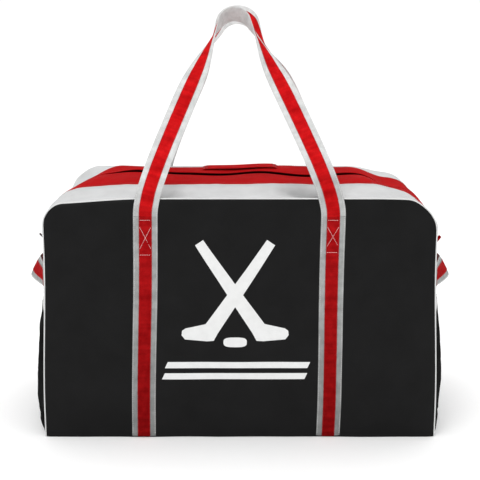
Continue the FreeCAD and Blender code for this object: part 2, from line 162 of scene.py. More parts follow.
def settle(points):
    """How the filled bag sags: everything sewn to the shell moves by this one smooth field."""
    p = np.array(points, float)
    x, y, z = p[..., 0].copy(), p[..., 1].copy(), p[..., 2].copy()
    low = smooth((0.40 - z) / 0.34)
    p[..., 0] = x * (1 + 0.027 * low)
    arch = smooth((0.16 - z) / 0.16)
    p[..., 2] = z - 0.0008 * arch * (x / HALF_L) ** 2 * (np.abs(y) > 0.1)
    # top: it droops towards the corners, with soft waves and the wandering zip
    top = smooth((z - 0.36) / 0.13) * (1 - smooth((z - 0.56) / 0.10))
    front = smooth((0.1 - y) / 0.2)
    front_droop = 0.0105 * smooth((-x - 0.20) / 0.20) + 0.003 * smooth((x - 0.28) / 0.12)
    front_droop = front_droop + 0.002 * smooth((-x - 0.36) / 0.04) + 0.007 * smooth((x - 0.335) / 0.05)
    rear_droop = 0.010 * smooth((x - 0.27) / 0.09) + 0.015 * smooth((-x - 0.335) / 0.05)
    rear_droop = rear_droop + 0.006 * smooth((x - 0.25) / 0.08) * smooth((y - 0.125) / 0.08)
    droop = front * front_droop + (1 - front) * rear_droop - TOP_LIFT
    body = 1 - smooth((z - 0.54) / 0.04)
    widened = smooth((np.abs(x) - 0.22) / 0.14) * smooth((np.abs(y) - 0.05) / 0.12)
    p[..., 0] += np.sign(x) * WIDEN * body * widened
    flat = np.stack([x, y * 0.6, np.zeros_like(x)], -1)
    across = 1 - np.clip(np.abs(y) / HALF_Y, 0, 1) ** 2
    p[..., 2] += top * (-droop + 0.0026 * field(flat, WIDE) * across + 0.0016 * field(flat, MEDIUM) * across)
    inner = np.clip(1 - (np.abs(y) / WHITE_Y) ** 2, 0, 1) * top * wander(x)
    p[..., 1] -= inner * WANDER_DRIFT
    p[..., 2] -= inner * WANDER_DIP
    p[..., 2] -= top * ZIP_DIP * smooth(1 - np.abs(y) / 0.075) * smooth((0.40 - np.abs(x)) / 0.10)
    # front and back panels: a slight pillow with soft waves
    near = smooth((np.abs(y) - 0.205) / 0.008)
    inside = np.clip(edge_distance(x, z) / 0.10, 0, 1)
    swell = 0.0045 * np.sin(inside * math.pi / 2) * smooth((z + 0.03) / 0.10)
    wave = 0.0012 * field(np.stack([x, y * 0 + np.sign(y) * 0.3, z], -1), MEDIUM)
    p[..., 1] += np.sign(y) * near * (swell + wave * inside)
    return p


# ---------------------------------------------------------------- mesh builders
def add_object(name, data):
    obj = bpy.data.objects.new(name, data)
    bpy.context.scene.collection.objects.link(obj)
    return obj


def finish_mesh(name, verts, faces, uvs=None, mats=None, face_mats=None, sharp=40):
    mesh = bpy.data.meshes.new(name)
    mesh.from_pydata([tuple(v) for v in verts], [], faces)
    mesh.validate()
    if uvs is not None:
        layer = mesh.uv_layers.new(name="UVMap")
        flat = np.array([uvs[v] for loop in mesh.polygons for v in loop.vertices], np.float32)
        layer.data.foreach_set("uv", flat.ravel())
    for material in mats or []:
        mesh.materials.append(material)
    if face_mats is not None:
        mesh.polygons.foreach_set("material_index", face_mats)
    mesh.polygons.foreach_set("use_smooth", [True] * len(mesh.polygons))
    if sharp:
        mesh.set_sharp_from_angle(angle=math.radians(sharp))
    return add_object(name, mesh)


def grid_normals(points):
    return unit(np.cross(np.gradient(points, axis=0), np.gradient(points, axis=1)))


def sheet(name, points, mats, side=1.0, thick=CLOTH):
    """Closed thin cloth from a grid of outer-face points; side turns its normals outward."""
    nu, nv = points.shape[:2]
    inner = points - grid_normals(points) * side * thick
    u = lengths(points[:, nv // 2])
    v = lengths(points[nu // 2])
    uv = np.stack(np.meshgrid(u, v, indexing="ij"), -1).reshape(-1, 2)
    verts = np.concatenate([points.reshape(-1, 3), inner.reshape(-1, 3)])
    index = np.arange(nu * nv).reshape(nu, nv)
    a, b, c, d = index[:-1, :-1], index[1:, :-1], index[1:, 1:], index[:-1, 1:]
    quads = np.stack([a, b, c, d], -1).reshape(-1, 4)
    if side < 0:
        quads = quads[:, ::-1]
    count = nu * nv
    faces = quads.tolist() + (quads[:, ::-1] + count).tolist()
    face_mats = [0] * len(quads) + [1] * len(quads)
    loops = (index[:, 0], index[-1, :], index[::-1, -1], index[0, ::-1])
    for loop in loops:
        for i, j in zip(loop[:-1], loop[1:]):
            face = [i, j, j + count, i + count]
            faces.append(face[::-1] if side > 0 else face)
            face_mats.append(0)
    return finish_mesh(name, verts, faces, np.concatenate([uv, uv]), mats, face_mats)


def swept(name, centres, widths, normals, section, mats):
    """Capped tube with an (across, out) section along stations; widths and normals are unit vectors there."""
    section = np.array(section, float)
    count = len(section)
    across, out = section[None, :, :1], section[None, :, 1:]
    verts = centres[:, None] + widths[:, None] * across + normals[:, None] * out
    along = lengths(centres)
    uv = np.stack(np.meshgrid(along, section[:, 0], indexing="ij"), -1).reshape(-1, 2)
    faces = []
    for i in range(0, (len(centres) - 1) * count, count):
        for j in range(count):
            k = (j + 1) % count
            faces.append([i + j, i + k, i + count + k, i + count + j])
    faces.append(list(range(count))[::-1])
    faces.append([(len(centres) - 1) * count + j for j in range(count)])
    obj = finish_mesh(name, verts.reshape(-1, 3), faces, uv, mats)
    make_outward(obj)
    return obj


def make_outward(obj):
    bm = bmesh.new()
    bm.from_mesh(obj.data)
    bmesh.ops.recalc_face_normals(bm, faces=bm.faces)
    bm.to_mesh(obj.data)
    bm.free()


def web_section(width, thick, columns=10):
    """Section of webbing: a flat strip with soft edges."""
    a = np.linspace(-width / 2, width / 2, columns)
    pinch = 1 - 0.55 * np.exp(-((width / 2 - np.abs(a)) / 0.0009))
    top = [(x, thick / 2 * k) for x, k in zip(a, pinch)]
    bottom = [(x, -thick / 2 * k) for x, k in zip(a[::-1], pinch[::-1])]
    return top + bottom


def oval_section(half_width, half_height, count):
    angles = np.arange(count) / count * 2 * math.pi
    return [(half_width * math.cos(t), half_height * math.sin(t)) for t in angles]


def resample(points, step):
    """Points evenly spaced along a line."""
    points = np.array(points, float)
    length = lengths(points)
    count = max(2, int(round(length[-1] / step)) + 1)
    at = np.linspace(0, length[-1], count)
    return np.stack([np.interp(at, length, points[:, k]) for k in range(3)], -1)


def soften(points, rounds=2):
    for _ in range(rounds):
        points[1:-1] = (points[:-2] + 2 * points[1:-1] + points[2:]) / 4
    return points


# one bead of thread: place along it, thickness, depth under the cloth's face
BEAD = ((0.0, 0.35, 0.9), (0.22, 1.0, 0.1), (0.78, 1.0, 0.1), (1.0, 0.35, 0.9))
BEAD_RING = [(math.cos(t), math.sin(t)) for t in np.arange(6) * math.pi / 3]


def between(at, total, values):
    """Values of a line's points at one length along it."""
    return np.array([np.interp(at, total, values[:, k]) for k in range(3)])


def stitches(name, lines, material, pitch=0.0042, length=0.0030, radius=0.00036):
    """Thread on the surface: each line is (points, normals); one short rounded bead per stitch."""
    verts, faces = [], []
    for points, normals in lines:
        points = np.array(points, float)
        total = lengths(points)
        normals = np.broadcast_to(np.array(normals, float), points.shape)
        for at in np.arange(pitch / 2, total[-1] - length / 2, pitch):
            start, end = (between(at + s * length / 2, total, points) for s in (-1, 1))
            normal = unit(between(at, total, normals))
            across = unit(np.cross(unit(end - start), normal))
            base = len(verts)
            for share, size, sink in BEAD:
                centre = start + (end - start) * share - normal * radius * sink
                for c, s in BEAD_RING:
                    verts.append(centre + (across * c * 1.3 + normal * s) * radius * size)
            for row in range(base, base + 18, 6):
                for k in range(6):
                    a, b = row + k, row + (k + 1) % 6
                    faces.append([a, b, b + 6, a + 6])
            faces.append([base + k for k in range(6)][::-1])
            faces.append([base + 18 + k for k in range(6)])
    return finish_mesh(name, verts, faces, None, [material], None, sharp=0)


def place(obj, body, slot, *nodes):
    """Ride a body given by name; a tuple (a, b, start, end), whose values are not used, leaves the piece where
    it is, riding nothing.
    """
    if isinstance(body, tuple):
        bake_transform(obj)
    else:
        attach(obj, body)
    if nodes:
        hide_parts(*nodes)
    return obj


# ---------------------------------------------------------------- materials
def new_material(name):
    material = bpy.data.materials.new(name)
    material.use_nodes = True
    tree = material.node_tree
    return material, tree, tree.nodes["Principled BSDF"]


def node(tree, kind, **values):
    made = tree.nodes.new(kind)
    for key, value in values.items():
        if hasattr(made, key):
            setattr(made, key, value)
        else:
            made.inputs[key].default_value = value
    return made


def noise(tree, scale, detail=3.0, roughness=0.55, vector=None):
    made = node(tree, "ShaderNodeTexNoise", Scale=scale, Detail=detail, Roughness=roughness)
    if vector is not None:
        tree.links.new(vector, made.inputs["Vector"])
    return made.outputs["Fac"]


def object_place(tree):
    return node(tree, "ShaderNodeTexCoord").outputs["Object"]


def remap(tree, value, low, high, to_low, to_high):
    made = node(tree, "ShaderNodeMapRange")
    tree.links.new(value, made.inputs["Value"])
    for key, number in (("From Min", low), ("From Max", high), ("To Min", to_low), ("To Max", to_high)):
        made.inputs[key].default_value = number
    return made.outputs["Result"]


def mixed(tree, factor, dark, light):
    made = node(tree, "ShaderNodeMix", data_type="RGBA")
    tree.links.new(factor, made.inputs["Factor"])
    made.inputs["A"].default_value = (*dark, 1)
    made.inputs["B"].default_value = (*light, 1)
    return made.outputs["Result"]


def calc(tree, operation, *values):
    """Result of a maths node: each value is a number or another node's output."""
    made = node(tree, "ShaderNodeMath", operation=operation)
    for socket, value in zip(made.inputs, values):
        if isinstance(value, (int, float)):
            socket.default_value = value
        else:
            tree.links.new(value, socket)
    return made.outputs[0]


def scaled(tree, colour, share):
    made = node(tree, "ShaderNodeVectorMath", operation="SCALE")
    tree.links.new(colour, made.inputs[0])
    tree.links.new(share, made.inputs["Scale"])
    return made.outputs[0]


def bump(tree, shader, heights):
    """Chain of bumps from (height output, strength, distance)."""
    previous = None
    for height, strength, distance in heights:
        made = node(tree, "ShaderNodeBump", Strength=strength, Distance=distance)
        tree.links.new(height, made.inputs["Height"])
        if previous is not None:
            tree.links.new(previous, made.inputs["Normal"])
        previous = made.outputs["Normal"]
    tree.links.new(previous, shader.inputs["Normal"])


def coated_cloth(name, dark, light, rough, grain=0.25, creases=0.35, specular=0.5):
    """Vinyl-coated cloth: faint weave under a smooth film, soft creases, patchy gloss."""
    material, tree, shader = new_material(name)
    place_out = object_place(tree)
    patches = remap(tree, noise(tree, 14.0, 4.0, 0.6, place_out), 0.3, 0.7, 0, 1)
    tree.links.new(mixed(tree, patches, dark, light), shader.inputs["Base Color"])
    gloss = noise(tree, 45.0, 3.0, 0.6, place_out)
    tree.links.new(remap(tree, gloss, 0.3, 0.7, rough - 0.05, rough + 0.06), shader.inputs["Roughness"])
    shader.inputs["Specular IOR Level"].default_value = specular
    fine = noise(tree, 1500.0, 2.0, 0.5, place_out)
    crease = noise(tree, 26.0, 5.0, 0.55, place_out)
    bump(tree, shader, [(crease, creases, 0.0016), (fine, grain, 0.00018)])
    return material


def painted_shade_spots(material, spots):
    """Painted shade: darken a cloth's colour softly round some places: centre, radius and the share left in
    the middle.
    """
    tree = material.node_tree
    base_colour = tree.nodes["Principled BSDF"].inputs["Base Color"]
    colour = base_colour.links[0].from_socket
    for centre, radius, left in spots:
        gap = node(tree, "ShaderNodeVectorMath", operation="DISTANCE")
        tree.links.new(object_place(tree), gap.inputs[0])
        gap.inputs[1].default_value = centre
        colour = scaled(tree, colour, remap(tree, gap.outputs["Value"], 0.0, radius, left, 1))
    tree.links.new(colour, base_colour)


def split_xyz(tree, vector):
    made = node(tree, "ShaderNodeSeparateXYZ")
    tree.links.new(vector, made.inputs["Vector"])
    return made.outputs


def weave(tree, pitch_along, pitch_across):
    """Height of a plain weave in the mesh's own UV, which is in metres, and the length along the mesh."""
    along, across, _ = split_xyz(tree, node(tree, "ShaderNodeUVMap", uv_map="UVMap").outputs["UV"])

    def wave(value, pitch, offset=0.0):
        return calc(tree, "SINE", calc(tree, "MULTIPLY_ADD", value, 2 * math.pi / pitch, offset))

    row = calc(tree, "SIGN", wave(across, pitch_across * 2))
    threads = wave(along, pitch_along, calc(tree, "MULTIPLY", row, math.pi / 2))
    return calc(tree, "MULTIPLY_ADD", threads, 0.5, wave(across, pitch_across)), along


def webbing(name, dark, light, rough=0.62, foot=1.0, ends=1.0, ripple=0.92):
    """Woven polyester webbing with a fine rib along it. Painted shade: the colour is darkened towards the
    floor on a strap (foot) and at both ends of a handle (ends), standing in for the shade it lies in there.
    ripple is the share left in the faint dark bands across it."""
    material, tree, shader = new_material(name)
    height, along = weave(tree, 0.0022, 0.0014)
    place_out = object_place(tree)
    tint = calc(tree, "MULTIPLY_ADD", height, 0.22, noise(tree, 60.0, 4.0, 0.6, place_out))
    # painted shade: the colour darkens towards the floor, down to the share foot at z = 0
    share = remap(tree, split_xyz(tree, place_out)["Z"], 0.0, 0.36, foot, 1)
    # painted shade: the colour darkens near both ends of a handle, down to the share ends
    if ends < 1:
        nearest_end = calc(tree, "MINIMUM", along, calc(tree, "SUBTRACT", HANDLE_LENGTH, along))
        share = remap(tree, nearest_end, 0.012, 0.075, ends, 1)
    only_along = node(tree, "ShaderNodeCombineXYZ")
    tree.links.new(along, only_along.inputs["X"])
    bands = noise(tree, 62.0, 3.0, 0.6, only_along.outputs["Vector"])
    share = calc(tree, "MULTIPLY", share, remap(tree, bands, 0.38, 0.60, ripple, 1))
    colour = mixed(tree, remap(tree, tint, 0.28, 0.78, 0, 1), dark, light)
    tree.links.new(scaled(tree, colour, share), shader.inputs["Base Color"])
    shader.inputs["Roughness"].default_value = rough
    shader.inputs["Specular IOR Level"].default_value = 0.004
    soft = noise(tree, 70.0, 3.0, 0.6, place_out)
    bump(tree, shader, [(soft, 0.35, 0.0008), (height, 0.55, 0.00022)])
    return material


def plain(name, colour, rough, scale=400.0, strength=0.2, metallic=0.0, sheen=0.0, specular=0.5):
    """Smooth material with slightly uneven colour and gloss."""
    material, tree, shader = new_material(name)
    place_out = object_place(tree)
    dark = [c * 0.82 for c in colour]
    patches = noise(tree, 60.0, 3.0, 0.6, place_out)
    tree.links.new(mixed(tree, patches, dark, colour), shader.inputs["Base Color"])
    gloss = noise(tree, 90.0, 2.0, 0.5, place_out)
    tree.links.new(remap(tree, gloss, 0.3, 0.7, rough - 0.06, rough + 0.06), shader.inputs["Roughness"])
    shader.inputs["Metallic"].default_value = metallic
    shader.inputs["Specular IOR Level"].default_value = specular
    shader.inputs["Sheen Weight"].default_value = sheen
    bump(tree, shader, [(noise(tree, scale, 2.0, 0.5, place_out), strength, 0.0002)])
    return material


BLACK = coated_cloth("black_vinyl", (0.0040, 0.0040, 0.0041), (0.0062, 0.0062, 0.0064), 0.42, 0.22, 0.30,
                     0.10)
BLACK_END = coated_cloth("black_nylon", (0.0026, 0.0026, 0.0027), (0.0042, 0.0042, 0.0043), 0.70, 0.35, 0.5,
                         0.005)
WHITE = coated_cloth("white_vinyl", (0.47, 0.474, 0.476), (0.555, 0.56, 0.562), 0.5, 0.2, 0.6, 0.12)
# painted shade on the front white band round the front handle's legs, where the handle shadows the band and
# the band dents
painted_shade_spots(WHITE, [((-0.158, -0.190, 0.522), 0.052, 0.52), ((-0.163, -0.210, 0.518), 0.032, 0.46),
                    ((0.150, -0.185, 0.522), 0.058, 0.46), ((0.152, -0.210, 0.518), 0.034, 0.50),
                    ((0.115, -0.160, 0.526), 0.050, 0.66)])
RED = coated_cloth("red_vinyl", (0.33, 0.0030, 0.0040), (0.41, 0.0040, 0.0055), 0.78, 0.2, 0.5, 0.012)
LINING = coated_cloth("grey_lining", (0.030, 0.031, 0.033), (0.050, 0.051, 0.054), 0.55, 0.4, 0.4)
PIPING = plain("white_piping", (0.66, 0.665, 0.66), 0.45, 500, 0.15)
# Lit and shaded copies of one webbing. The carry handles' colours are painted lighter for the light they catch
# up top. The straps' and grab handles' colours are painted darker for the shade on the bag's front and ends.
# The red grab one is also used on the pull tab.
WHITE_WEB_LIT = webbing("white_webbing", (0.50, 0.505, 0.50), (0.76, 0.77, 0.765), ends=0.68)
RED_WEB_LIT = webbing("red_webbing", (0.44, 0.0035, 0.0050), (0.72, 0.0130, 0.0150), ends=0.80, ripple=0.72)
WHITE_GRAB_SHADED = webbing("white_grab_shaded", (0.25, 0.254, 0.25), (0.43, 0.437, 0.433))
RED_GRAB_SHADED = webbing("red_grab_shaded", (0.24, 0.0022, 0.0032), (0.42, 0.0060, 0.0080))
RED_SLEEVE = webbing("red_sleeve", (0.36, 0.0030, 0.0042), (0.50, 0.0065, 0.0085))
WHITE_STRAP_SHADED = webbing("white_strap_shaded", (0.25, 0.254, 0.25), (0.43, 0.437, 0.433), foot=0.62)
RED_STRAP_SHADED = webbing("red_strap_shaded", (0.24, 0.0030, 0.0040), (0.44, 0.0090, 0.0105), foot=0.62, ripple=0.78)
TAPE = webbing("zip_tape", (0.004, 0.004, 0.0045), (0.009, 0.009, 0.0095), 0.7)
TEETH = plain("zip_teeth", (0.010, 0.010, 0.011), 0.5, 300, 0.1, specular=0.06)
METAL = plain("slider_enamel", (0.035, 0.035, 0.037), 0.32, 300, 0.1, metallic=0.6)
THREAD_PINK = plain("thread_pink", (0.78, 0.42, 0.42), 0.55, 900, 0.3, sheen=0.2)
THREAD_WHITE = plain("thread_white", (0.72, 0.72, 0.71), 0.55, 900, 0.3, sheen=0.2)
THREAD_RED = plain("thread_red", (0.42, 0.006, 0.009), 0.55, 900, 0.3, sheen=0.2)
THREAD_BLACK = plain("thread_black", (0.014, 0.014, 0.015), 0.5, 900, 0.3, sheen=0.1)
INK = plain("white_ink", (0.74, 0.745, 0.74), 0.38, 700, 0.12)


# ---------------------------------------------------------------- the shell's form
def outline(z_low, step=0.009):
    """Stations from the left end over the top to the right end: x, z, the outward normal's x, z, and
    the signed distances along the outline from the middles of the left and the right top corner."""
    rows = []

    def turn(middle, radius, start, end, count):
        for t in np.linspace(start, end, count, endpoint=False):
            c, s = math.cos(t), math.sin(t)
            rows.append((middle + radius * c, PANEL_TOP - radius + radius * s, c, s))

    left, right = CORNER["left"], CORNER["right"]
    left_high, right_high = PANEL_TOP - left, PANEL_TOP - right
    for z in np.linspace(z_low, left_high, max(3, int((left_high - z_low) / step)), endpoint=False):
        rows.append((-HALF_L, z, -1.0, 0.0))
    turn(-HALF_L + left, left, math.pi, math.pi / 2, 14)
    for start, end in ((-HALF_L + left, 0.0), (0.0, HALF_L - right)):
        for x in np.linspace(start, end, 44, endpoint=False):
            rows.append((x, PANEL_TOP, 0.0, 1.0))
    turn(HALF_L - right, right, math.pi / 2, 0.0, 16)
    for z in np.linspace(right_high, z_low, max(3, int((right_high - z_low) / step)) + 1):
        rows.append((HALF_L, z, 1.0, 0.0))
    rows = np.array(rows)
    length = np.r_[0, np.cumsum(np.hypot(np.diff(rows[:, 0]), np.diff(rows[:, 1])))]
    left_middle = length[np.argmax(rows[:, 3] > 0.707)]
    right_middle = length[len(rows) - 1 - np.argmax(rows[::-1, 3] > 0.707)]
    return np.column_stack([rows, length - left_middle, right_middle - length])


def fullness(y, from_left, from_right):
    """Share of the crown left near the top corners, where the gusset sags: 0 at them, 1 well away."""
    share = 1.0
    for side, distance in (("left", from_left), ("right", from_right)):
        over_top = (distance - SAG_START[side] - SAG_SKEW[side] * y) / SAG_EASE
        down_end = (-distance - 0.010) / 0.040
        share = share * smooth(np.where(distance > 0, over_top, down_end))
    return share


def rise(y, z, full=1.0):
    """Outward stand of the gusset over the panels' outline."""
    u = np.clip(np.abs(y) / HALF_Y, 0, 1)
    drop = np.clip((ARC_Z - z) / (ARC_Z - SEAM_Z), 0, 1)
    crown = CROWN * (1 - u ** 3.2)
    over_top = crown * full - CORNER_SINK * (1 - full) * (1 - u ** 2)
    flare = SEAM_FLARE * smooth((ZIP_END_Z - 0.004 - z) / (ZIP_END_Z - 0.004 - SEAM_Z))
    down_end = (CROWN + END_CROWN + END_SPREAD * drop + flare) * (1 - u ** 1.15)
    share = smooth((ARC_Z - z) / 0.04)
    return over_top * (1 - share) + down_end * share


def gusset(stations, ys, lift=0.0):
    """Grid of points on the gusset: stations along it, ys across it (one row, or one value per station)."""
    x, z, nx, nz, from_left, from_right = (stations[:, k][:, None] for k in range(6))
    ys = np.asarray(ys, float)
    y = np.broadcast_to(ys if ys.ndim == 2 else ys[None, :], (len(stations), ys.shape[-1]))
    full = fullness(y, from_left, from_right)
    rear_left = smooth(y / 0.12) * (from_left < from_right) * (1 - (np.abs(y) / HALF_Y) ** 2)
    stand = rise(y, z, full) - REAR_SINK * (1 - full) * rear_left * smooth((z - 0.40) / 0.06) + lift
    return np.stack([x + nx * stand, y, z + nz * stand], -1)


def seam_rows(y_from, y_to, count):
    """Rows across a band, close together at both seams."""
    share = np.linspace(0, 1, count)
    edge = 0.0016 / abs(y_to - y_from)
    rows = np.r_[0, edge, edge * 2.6, edge * 5 + share[1:-1] * (1 - edge * 10), 1 - edge * 2.6, 1 - edge, 1]
    return y_from + (y_to - y_from) * rows


def tuck(points, rows, y_from, y_to, depth=0.0013, seams=(True, True)):
    """Pull the cloth down into its seams, with a faint pucker along them."""
    normal = grid_normals(points)
    sign = np.sign((normal[len(points) // 2, points.shape[1] // 2] @ np.array([0, 0, 1])) or 1)
    normal = normal * sign
    sink = np.zeros(points.shape[:2])
    for here, wanted in ((y_from, seams[0]), (y_to, seams[1])):
        if wanted:
            distance = np.abs(rows - here)
            sink = sink + depth * np.exp(-distance / 0.0030)
            sink = sink + 0.0006 * field(points * np.array([1, 0.25, 1]), PUCKER) * np.exp(-distance / 0.012)
    return points - normal * sink[..., None]


STATIONS = outline(SEAM_Z)
MIDDLE = int(np.argmin(np.abs(STATIONS[:, 0]) + (STATIONS[:, 3] < 0.5)))


def station_normals(stations):
    return np.stack([stations[:, 2], np.zeros(len(stations)), stations[:, 3]], -1)


def half_stations(side):
    return STATIONS[:MIDDLE + 1] if side == "left" else STATIONS[MIDDLE:]


def slot_edge(stations):
    """Half width of the slot between the red bands: narrow on top, wide enough for the sliders below."""
    over_top = 0.0042 - 0.0028 * smooth((np.abs(stations[:, 0]) - 0.20) / 0.12)
    return over_top + 0.0058 * smooth((0.475 - stations[:, 1]) / 0.03)


def lip_lift(which, stations):
    """How far a red band's edge stands over the zip, most in the middle of the top."""
    on_top = smooth((stations[:, 1] - 0.47) / 0.035)
    middle = 1 - 0.85 * smooth((np.abs(stations[:, 0]) - 0.22) / 0.10)
    return (0.0055 if which == "rear" else 0.0006) * on_top * middle


# ---------------------------------------------------------------- cloth
RELAX_FRAMES = 22
RELAX_LIMIT = 0.006


def relax(points, press):
    """Cloth simulation of one piece held along its seams. The slack cloth settles under its weight, pushed
    out by what the bag holds, and no point ends more than RELAX_LIMIT from where it started."""
    rows, cols = points.shape[:2]
    faces = [(r * cols + c, r * cols + c + 1, (r + 1) * cols + c + 1, (r + 1) * cols + c)
             for r in range(rows - 1) for c in range(cols - 1)]
    trial = finish_mesh("relax_trial", points.reshape(-1, 3), faces, sharp=0)
    held = trial.vertex_groups.new(name="held")
    held.add([r * cols + c for r in range(rows) for c in range(cols)
              if min(r, c, rows - 1 - r, cols - 1 - c) < 2], 1.0, "ADD")
    cloth = trial.modifiers.new("cloth", "CLOTH")
    cloth.settings.quality = 8
    cloth.settings.mass = 0.15
    cloth.settings.tension_stiffness = 40
    cloth.settings.compression_stiffness = 40
    cloth.settings.shear_stiffness = 15
    cloth.settings.bending_stiffness = 1.5
    cloth.settings.air_damping = 4
    cloth.settings.vertex_group_mass = "held"
    cloth.settings.shrink_min = -0.012
    cloth.settings.use_pressure = True
    first = trial.data.polygons[len(trial.data.polygons) // 2].normal
    facing = np.sign(np.array(first) @ points[rows // 2, cols // 2])
    cloth.settings.uniform_pressure_force = press * facing
    cloth.point_cache.frame_start = 1
    cloth.point_cache.frame_end = RELAX_FRAMES
    scene = bpy.context.scene
    start_frame = scene.frame_current
    for number in range(1, RELAX_FRAMES + 1):
        scene.frame_set(number)
    settled = trial.evaluated_get(bpy.context.evaluated_depsgraph_get())
    ended = np.array([vert.co for vert in settled.data.vertices]).reshape(points.shape)
    bpy.data.objects.remove(trial)
    scene.frame_set(start_frame)
    moved = ended - points
    far = np.maximum(np.linalg.norm(moved, axis=-1, keepdims=True), 1e-9)
    return points + moved / far * RELAX_LIMIT * np.tanh(far / RELAX_LIMIT)


# ---------------------------------------------------------------- shell pieces
def make_panel(name, side, node_name):
    columns = np.r_[-1, np.linspace(-0.994, 0.994, 92), 1] * (HALF_L - PANEL_INSET)
    shares = np.r_[0, 0.006, np.linspace(0.016, 0.984, 58), 0.994, 1]
    xs = np.repeat(columns[:, None], len(shares), 1)
    radius = np.where(columns < 0, CORNER["left"], CORNER["right"]) - PANEL_INSET
    over = np.maximum(np.abs(columns) - (HALF_L - PANEL_INSET - radius), 0)
    tops = PANEL_TOP - PANEL_INSET - radius + np.sqrt(np.maximum(radius ** 2 - over ** 2, 0))
    zs = PANEL_LOW + (tops[:, None] - PANEL_LOW) * shares[None, :]
    inside = np.maximum(edge_distance(xs, zs) - PANEL_INSET, 0)
    ys = side * (-FRONT_Y - 0.0022 * np.exp(-inside / 0.0035))
    points = settle(np.stack([xs, ys, zs], -1))
    obj = sheet(name, points, [BLACK, LINING], side=-side)
    return place(obj, "shell", "black_vinyl", node_name)


def make_piping(name, side, node_name):
    stations = outline(PANEL_LOW, 0.008)
    inward = stations[:, [0, 1]] - stations[:, [2, 3]] * PIPING_R
    y = side * (-FRONT_Y - PIPING_R)
    line = settle(np.stack([inward[:, 0], np.full(len(inward), y), inward[:, 1]], -1))
    widths = repeated((0, 1, 0), len(stations))
    obj = swept(name, line, widths, station_normals(stations), oval_section(PIPING_R, PIPING_R, 10), [PIPING])
    return place(obj, "shell", "piping", node_name)


def make_white_band(name, side, node_name):
    rows = seam_rows(side * HALF_Y, side * (WHITE_Y + 0.0001), 12)
    sewn = settle(tuck(gusset(STATIONS, rows), rows, rows[0], rows[-1]))
    points = sewn + (relax(sewn, 0.8) - sewn) * smooth((sewn[..., 2:] - 0.42) / 0.06)
    if side < 0:
        share = (np.abs(rows) - WHITE_Y) / (HALF_Y - WHITE_Y)
        for x, width, depth in DENTS:
            near = np.exp(-((points[..., 0] - x) / width) ** 2) * (points[..., 2] > 0.45)
            points[..., 2] -= depth * near * np.sin(math.pi * share)[None, :] ** 2
    obj = sheet(name, points, [WHITE, LINING], side=-side)
    return place(obj, "shell", "white_band", node_name)


def flap_blend(which, side):
    sign = -1 if side == "left" else 1
    return ("shell", which + "_flap", (sign * FLAP_FIXED, 0, 0), (sign * FLAP_FREE, 0, 0))


def make_red_half(which, side):
    """Half of a red band: the end that stays and half of the flap that lifts."""
    stations = half_stations(side)
    sign = -1 if which == "front" else 1
    edge = slot_edge(stations)
    share = seam_rows(0.0, 1.0, 15)[None, :]
    ys = sign * (WHITE_Y + (edge[:, None] - WHITE_Y) * share)
    points = gusset(stations, ys)
    points = tuck(points, ys, sign * WHITE_Y, None, seams=(True, False))
    lip = np.exp(-((np.abs(ys) - edge[:, None]) / 0.012))
    lift = lip_lift(which, stations)[:, None] * lip
    points = points + station_normals(stations)[:, None, :] * lift[..., None]
    obj = sheet(which + "_red_" + side, settle(points), [RED, LINING], side=-sign, thick=0.0015)
    nodes = (side + "_" + which + "_red_band", which + "_flap")
    return place(obj, flap_blend(which, side), "red_fabric", *nodes)


# how far the middle of each lower end panel stands out at these heights
BULGE_Z = (0.006, 0.05, 0.13, 0.235, SEAM_Z)
BULGE = {"left": (0.034, 0.041, 0.044, 0.047, 0.041), "right": (0.030, 0.034, 0.037, 0.044, 0.041)}


def lower_profile(side, y, z):
    """Outward stand of the lower end panel."""
    u = np.clip(np.abs(y) / HALF_Y, 0, 1)
    bulge = np.interp(z, BULGE_Z, BULGE[side])
    share = smooth((SEAM_Z - z) / 0.07)
    return (1 - share) * rise(y, np.full_like(z, SEAM_Z)) + share * bulge * (1 - u ** 2)


def make_end_panel(side):
    sign = -1 if side == "left" else 1
    ys = seam_rows(-HALF_Y, HALF_Y, 34)
    zs = np.r_[0.0045, 0.006, 0.009, np.linspace(0.014, SEAM_Z - 0.008, 34)]
    zs = np.r_[zs, SEAM_Z - 0.004, SEAM_Z - 0.0017, SEAM_Z]
    z = np.repeat(zs[:, None], len(ys), 1)
    y = np.repeat(ys[None, :], len(zs), 0)
    stand = lower_profile(side, y, z)
    stand = stand + 0.0022 * field(np.stack([y * 0 + sign, y, z], -1), MEDIUM) * (1 - (y / HALF_Y) ** 4)
    for distance in (SEAM_Z - z, HALF_Y - np.abs(y)):
        stand = stand - 0.0014 * np.exp(-distance / 0.003)
    stand = stand - 0.0072 * np.exp(-z / 0.006)
    points = relax(settle(np.stack([sign * (HALF_L + stand), y, z], -1)), 0.8)
    obj = sheet(side + "_lower_end", points, [BLACK_END, LINING], side=-sign)
    return place(obj, "shell", "black_nylon", side + "_end_panel")


def make_end_binding(side):
    """White binding over the seam between the bands and the lower end panel."""
    sign = -1 if side == "left" else 1
    y = np.linspace(-HALF_Y + 0.0005, HALF_Y - 0.0005, 60)
    z = np.full_like(y, SEAM_Z)
    x = sign * (HALF_L + rise(y, z) - 0.0003)
    line = settle(np.stack([x, y, z], -1))
    along = unit(np.gradient(line, axis=0))
    up = repeated((0, 0, 1), len(line))
    out = unit(np.cross(along, up)) * sign
    obj = swept(side + "_end_binding", line, up, out, oval_section(0.0042, 0.0013, 12), [PIPING])
    return place(obj, "shell", "piping")


